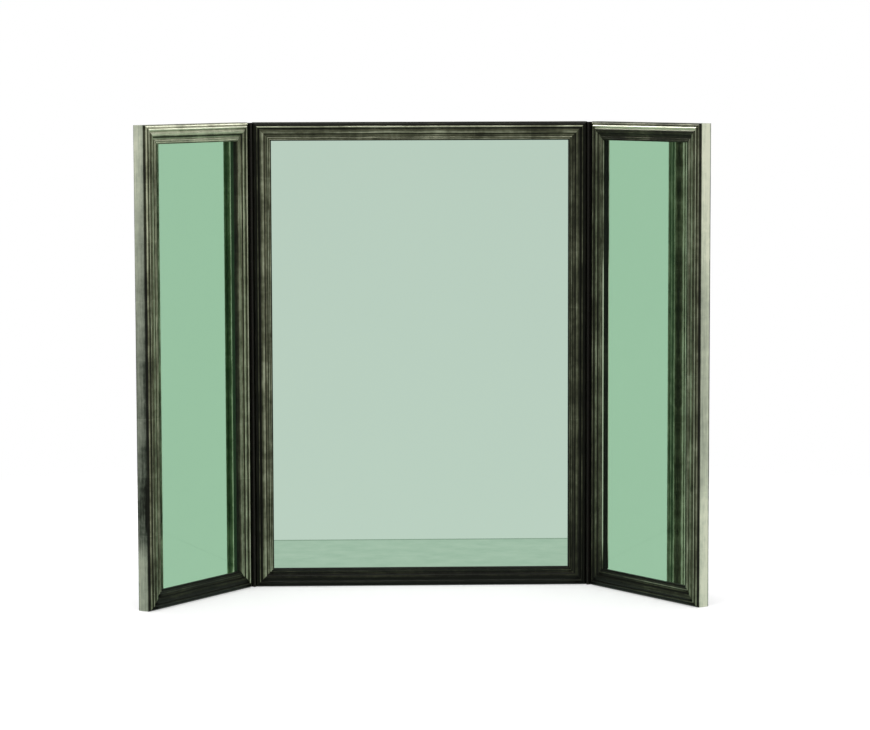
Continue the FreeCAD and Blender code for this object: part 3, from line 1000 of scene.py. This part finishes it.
hingeSizes = {"knuckleRadius": 2.27, "pinBore": 1.05, "thickness": 1.0, "plateFace": 2.05, "reach": 16.0,
              "plateRoot": 1.97, "rootOverlap": 0.6, "knucklePitch": 26.0, "knuckleGap": 0.06, "endInset": 0.5,
              "roundSteps": 24, "boreSteps": 16, "edgeSoftness": 0.08, "edgeBand": 0.1, "edgeTurn": 1.2,
              "edgeProfile": 0.6, "plateSoftness": 0.06, "sharpAngle": 32}


def knuckleCarrier(length):
    h = hingeSizes
    bareX = h["thickness"] - h["plateFace"]
    outer, meet = h["knuckleRadius"], math.acos(bareX / h["knuckleRadius"])
    first = -math.pi + math.acos(h["plateFace"] / outer)
    angles = [first + (meet - first) * i / h["roundSteps"] for i in range(h["roundSteps"] + 1)]
    root = h["plateRoot"] + h["rootOverlap"]
    outline = [(outer * math.cos(a), outer * math.sin(a)) for a in angles]
    outline += [(bareX, root), (-h["plateFace"], root)]
    turns = [2 * math.pi * i / h["boreSteps"] for i in range(h["boreSteps"])]
    bore = [(h["pinBore"] * math.cos(a), h["pinBore"] * math.sin(a)) for a in turns]
    work = bmesh.new()
    walls = [[[work.verts.new((x * mm, y * mm, z * mm)) for x, y in line] for z in (0, length)]
             for line in (outline, bore)]
    for loops in zip(*walls):
        edges = [work.edges.new(ends) for loop in loops for ends in zip(loop, loop[1:] + loop[:1])]
        bmesh.ops.triangle_fill(work, edges=edges, use_beauty=True)
    for low, high in walls:
        joinRings(work, low, high)
    bmesh.ops.recalc_face_normals(work, faces=work.faces)
    rim = [e for e in work.edges if e.is_manifold and e.calc_face_angle() > h["edgeTurn"] and
           all(math.hypot(v.co.x, v.co.y) > (outer - h["edgeBand"]) * mm for v in e.verts)]
    bevelEdges(work, rim, h["edgeSoftness"], 2, h["edgeProfile"])
    return newObject("knuckle", meshOf(work, "knuckle"), hidden=True)


def knuckleTree():
    tree, given = newGroup("knucklesOnLeaf", "Geometry", {
        "Geometry": "Geometry", "Knuckle": "Object", "Count": 14, "First": 0.0, "Pitch": 0.05,
        "Metal": "Material"}, {"Geometry": "Geometry"})
    row = geometryNode("MeshLine", {"Count": given["Count"], "Start Location": combined(z=given["First"]),
                                    "Offset": combined(z=given["Pitch"])})
    knuckles = geometryNode("InstanceOnPoints", {"Points": row, "Instance": shapeOf(given["Knuckle"])})
    joined = geometryNode("JoinGeometry", {0: given["Geometry"]})
    tree.links.new(knuckles.socket, joined.socket.node.inputs[0])
    return putOut(realInMaterial(joined, given["Metal"]))


knucklesOnLeaf = knuckleTree()
knucklePairs = round((hingeLength - hingeSizes["knucklePitch"]) / (2 * hingeSizes["knucklePitch"]))
knuckleStep = hingeLength / (2 * knucklePairs + 1)
knuckle = knuckleCarrier(knuckleStep - hingeSizes["knuckleGap"])


def makeHingeLeaf(node, body, first, count, hand):
    h = hingeSizes
    high = (h["thickness"] - h["plateFace"], h["reach"], hingeLength)
    work = boxWork((-h["plateFace"], h["plateRoot"], 0), high)
    bevelEdges(work, work.edges[:], h["plateSoftness"])
    made = bakedFrom(newObject("leafPlate", meshOf(work, "leafPlate")), knucklesOnLeaf, {
        "Knuckle": knuckle, "Count": count, "First": (first * knuckleStep + h["knuckleGap"] / 2) * mm,
        "Pitch": 2 * knuckleStep * mm, "Metal": darkBronze}, node + "_rolled")
    if hand < 0:
        made.transform(Matrix.Scale(-1, 4, (1, 0, 0)))
        made.flip_normals()
    shaded(made, h["sharpAngle"])
    width, place = places[body]
    edge = (width if hand > 0 else 0.0) + hand * h["plateFace"]
    seat = Matrix.Translation((edge * mm, -panelSizes["pinInFront"] * mm, h["endInset"] * mm))
    leaf = asPiece(node + "_rolled", made, body, [node], place @ seat)
    standing.append((leaf, body, (0, 0, h["endInset"] * mm), (0, 0, 1)))


for sideName, side in (("left", -1), ("right", 1)):
    makeHingeLeaf(sideName + "_hinge_centre_leaf", "centre", 0, knucklePairs + 1, side)
    makeHingeLeaf(sideName + "_hinge_wing_leaf", sideName + "_wing", 1, knucklePairs, -side)
bpy.data.objects.remove(knuckle)
print("hinge leaves rolled")


# these CAD nodes keep their shape and only get a finish, and whether the mirrors show them
keptFinishes = {"hinge_pin": (darkBronze, True), "corner_nails": (nailSteel, False),
                "backing_beads": (planedPine, False), "back_panel": (paintedBoard, False)}
for name, node in frame["nodes"].items():
    for ending, (material, inMirrors) in keptFinishes.items():
        if name.endswith(ending):
            node.data.materials.clear()
            node.data.materials.append(material)
            node.visible_glossy = inMirrors
print("CAD pieces finished")


studio = {
    "tableReach": 0.466,          # the stand's front edge, in front of the mirror's origin
    "tableEdge": 0.014,
    "floorDrop": 0.4,
    "floorWhite": (0.70, 0.70, 0.70, 1),
    "floorGrey": (0.68, 0.68, 0.68, 1),
    "floorGrain": (60.0, 3.0, 0.55),
    "floorLift": 0.36,
    "floorReach": (0.75, 1.5),    # past this the floor fades into the white backdrop
    "standBack": -0.155,          # behind this the mirrors look through the floor, where they see it low
    "steepLook": (0.79, 0.825),
    "wallDepth": 0.6,
    "sheetDepth": 1.2,
    "sheetReach": 30,
    "footSteps": 6,               # how far the feet reach down, in knuckles
    "glassOverlap": (0.5, 0.1),   # of the glass in the feet, past the sides and up behind the mirror
    "oneMirror": 1.5,             # a ray with less Glossy Depth has met one mirror
    "twoMirrors": 2.5,
    "stand": (0.473, 0.577, 0.497, 1),
    "standDark": (0.412, 0.525, 0.443, 1),
    "standEdge": (0.20, 0.27, 0.22, 1),
    "veins": (22.0, 6.0, 0.65),
    "veinContrast": (0.35, 0.65),
    "secondLook": (0.485, 0.620, 0.523, 1),
    "roomLow": (0.618, 0.682, 0.648, 1),
    "roomHigh": (0.608, 0.667, 0.637, 1),
    "leftSide": (0.44, 0.46, 0.42, 1),
    "rightSide": (0.86, 0.88, 0.80, 1),
    "above": (0.10, 0.10, 0.09, 1),
    "lowToHigh": (-0.15, -0.03),  # where one tone of the room gives way to the next, as a ray's slope
    "leftToRight": (-0.3, 0.6),
    "sidesToAbove": (0.12, 0.45),
    "roomAhead": (-0.90, -0.80),
    "roomTop": (0.2, 0.35),
    "ambient": 0.62,
}


def standVeins():
    tree, _ = newGroup("standVeins", "Shader", {}, {"Colour": "Color"})
    veins = remap(noise(objectPlace(tree), *studio["veins"]), *studio["veinContrast"])
    return putOut(blendColour(veins, studio["standDark"], studio["stand"]))


veinGroup = standVeins()


def bareMaterial(name):
    material, tree, _ = newMaterial(name)
    tree.nodes.clear()
    return material, tree


def mixShader(share, first, second):
    return shaderNode("MixShader", {0: share, 1: first, 2: second})


def glow(colour):
    return shaderNode("Emission", {"Color": colour, "Strength": 1.0})


def seeThrough(tree):
    return shaderNode("BsdfTransparent", {}, 0, tree)


def shown(kind, shader):
    feed(shader.tree.nodes.new("ShaderNodeOutput" + kind), {"Surface": shader})


def floorMaterial():
    material, tree = bareMaterial("paleFloor")
    place = objectPlace(tree)
    y = separated(place)["Y"]
    path = lightPath(tree)
    clear = seeThrough(tree)

    # what the middle mirror shows of it: the stand in front of it, ending at its front edge
    toEdge = y + studio["tableReach"]
    stand = blendColour(remap(toEdge, 0.0, studio["tableEdge"], 1.0, 0.0),
                        fromGroup(tree, veinGroup), studio["standEdge"])
    facing = shaderNode("LayerWeight", {"Blend": 0.5}, "Facing", tree)
    behind = (y < studio["standBack"]) * (path["Glossy Depth"] < studio["oneMirror"])
    closed = calc("MAXIMUM", behind, remap(facing, *studio["steepLook"], 1.0, 0.0))
    mirrored = mixShader((toEdge > 0.0) * closed, clear, glow(stand))

    white = blendColour(noise(place, *studio["floorGrain"]), studio["floorWhite"], studio["floorGrey"])
    pale = shaderNode("BsdfDiffuse", {"Color": white})
    lift = shaderNode("Emission", {"Strength": path["Is Camera Ray"] * studio["floorLift"]})
    distance = shaderNode("VectorMath", {0: place}, "Value", operation="LENGTH")
    far = remap(distance, *studio["floorReach"]) * path["Is Camera Ray"]
    seen = mixShader(far, shaderNode("AddShader", {0: pale, 1: lift}), clear)
    shown("Material", mixShader(path["Is Glossy Ray"], seen, mirrored))
    return material


# a sheet under the floor that only the mirrors see, for what they show of the stand and the room
def underSheetMaterial():
    material, tree = bareMaterial("mirroredStand")
    y = separated(objectPlace(tree))["Y"]
    depth = lightPath(tree)["Glossy Depth"]
    look = blendColour(depth > studio["oneMirror"], fromGroup(tree, veinGroup), studio["secondLook"])
    look = blendColour(depth > studio["twoMirrors"], look, studio["roomHigh"])
    inFront = (y < -studio["tableReach"]) * (depth < studio["oneMirror"])
    shown("Material", mixShader(inFront, glow(look), seeThrough(tree)))
    return material


# closes the view under the stand, for mirrors that face forward
def standWallMaterial():
    material, tree = bareMaterial("standWall")
    firstLook = lightPath(tree)["Glossy Depth"] < studio["oneMirror"]
    shown("Material", mixShader(firstLook, seeThrough(tree), glow(fromGroup(tree, veinGroup))))
    return material


def sheetOf(name, corners, material):
    mesh = bpy.data.meshes.new(name)
    mesh.from_pydata(corners, [], [(0, 1, 2, 3)])
    mesh.materials.append(material)
    return newObject(name, mesh)


def mirrorOnly(piece):
    for ray in ("camera", "diffuse", "shadow", "transmission", "volume_scatter"):
        setattr(piece, "visible_" + ray, False)


reach = studio["sheetReach"]


def layFlat(name, z, material):
    corners = [(-reach, -reach, z), (reach, -reach, z), (reach, reach, z), (-reach, reach, z)]
    sheet = sheetOf(name, corners, material)
    return sheet


layFlat("floor", -studio["floorDrop"] * mm, floorMaterial())
mirrorOnly(layFlat("underSheet", -studio["sheetDepth"], underSheetMaterial()))
back, low = studio["standBack"], -studio["wallDepth"]
corners = [(-reach, back, low), (reach, back, low), (reach, back, 0), (-reach, back, 0)]
standWall = sheetOf("standWall", corners, standWallMaterial())
mirrorOnly(standWall)


# In the mirrors the stiles, the hinges and the glass run on into the stand, in place of the bottom rails.
footDrop = studio["footSteps"] * knuckleStep * mm


def standIn(piece, body):
    piece.data.transform(places[body][1])
    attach(piece, body)
    mirrorOnly(piece)


def footOf(piece, body, corner, normal):
    mesh = piece.data.copy()
    mesh.transform(Matrix.Translation((0, 0, -footDrop)) @ places[body][1].inverted())
    work = bmesh.new()
    work.from_mesh(mesh)
    for point, away in ((corner, normal), ((0, panelSizes["glassFront"] * mm, 0), (0, 1, 0))):
        bmesh.ops.bisect_plane(work, geom=work.verts[:] + work.edges[:] + work.faces[:], plane_co=point,
                               plane_no=Vector(away).normalized(), clear_outer=True)
    work.to_mesh(mesh)
    work.free()
    standIn(newObject(piece.name + "_inStand", mesh), body)


for piece, body, corner, normal in standing:
    footOf(piece, body, corner, normal)
for body, (width, _) in places.items():
    past, above = studio["glassOverlap"]
    inset = panelSizes["glassInset"]
    left, right, top = [value * mm for value in (inset - past, width - inset + past, inset + above)]
    front = panelSizes["glassFront"] * mm
    corners = [(left, front, -footDrop), (right, front, -footDrop), (right, front, top), (left, front, top)]
    standIn(sheetOf(body + "_mirror_inStand", corners, silveredGlass), body)
print("floor laid")


def background(colour, strength, tree=None):
    return shaderNode("Background", {"Color": colour, "Strength": strength}, 0, tree)


def makeWorld():
    world = bpy.data.worlds.new("studio")
    bpy.context.scene.world = world
    world.use_nodes = True
    tree = world.node_tree
    tree.nodes.clear()
    direction = separated(shaderNode("TexCoord", {}, "Generated", tree))
    path = lightPath(tree)
    x, y, z = [direction[axis] for axis in "XYZ"]
    low = remap(z, *studio["lowToHigh"], 1.0, 0.0) * (path["Glossy Depth"] < studio["oneMirror"])
    room = blendColour(low, studio["roomHigh"], studio["roomLow"])
    sides = blendColour(remap(x, *studio["leftToRight"]), studio["leftSide"], studio["rightSide"])
    around = blendColour(remap(z, *studio["sidesToAbove"]), sides, studio["above"])
    ahead = remap(y, *studio["roomAhead"], 1.0, 0.0) * remap(z, *studio["roomTop"], 1.0, 0.0)
    reflected = background(blendColour(ahead, around, room), 1.0)
    ambient, backdrop = [background((1, 1, 1, 1), strength, tree) for strength in (studio["ambient"], 1.0)]
    lit = mixShader(path["Is Glossy Ray"], ambient, reflected)
    shown("World", mixShader(path["Is Camera Ray"], lit, backdrop))


softBoxes = {
    "overheadBox": {"place": (0.0, -0.9, 3.0), "target": (0, 0, 0.4), "size": (2.4, 1.4), "watts": 50},
    "leftBox": {"place": (-2.1, 2.3, 3.1), "target": (0, 0, 0.6), "size": (1.8, 1.6), "watts": 60},
    "rightBox": {"place": (2.1, 2.3, 3.1), "target": (0, 0, 0.6), "size": (1.8, 1.6), "watts": 35},
}
cameraSettings = {"place": (-0.112, -4.674, 0.792), "yaw": 1.645, "pitch": 5.525, "roll": -0.155,
                  "lens": 127.0, "sensor": 36.0, "farEnd": 200.0}

makeWorld()
for name, box in softBoxes.items():
    lamp = bpy.data.lights.new(name, "AREA")
    lamp.shape = "RECTANGLE"
    lamp.size, lamp.size_y = box["size"]
    lamp.energy = box["watts"]
    softBox = newObject(name, lamp)
    softBox.location = box["place"]
    softBox.rotation_euler = (Vector(box["target"]) - Vector(box["place"])).to_track_quat("-Z", "Y").to_euler()

cameraData = bpy.data.cameras.new("camera")
cameraData.sensor_width = cameraSettings["sensor"]
cameraData.lens = cameraSettings["lens"]
cameraData.clip_end = cameraSettings["farEnd"]
camera = newObject("camera", cameraData)
camera.matrix_world = (Matrix.Translation(cameraSettings["place"])
                       @ Matrix.Rotation(math.radians(-cameraSettings["yaw"]), 4, "Z")
                       @ Matrix.Rotation(math.radians(90 - cameraSettings["pitch"]), 4, "X")
                       @ Matrix.Rotation(math.radians(cameraSettings["roll"]), 4, "Z"))
bpy.context.scene.camera = camera
bpy.context.scene.view_settings.view_transform = "Standard"
print("studio lit")
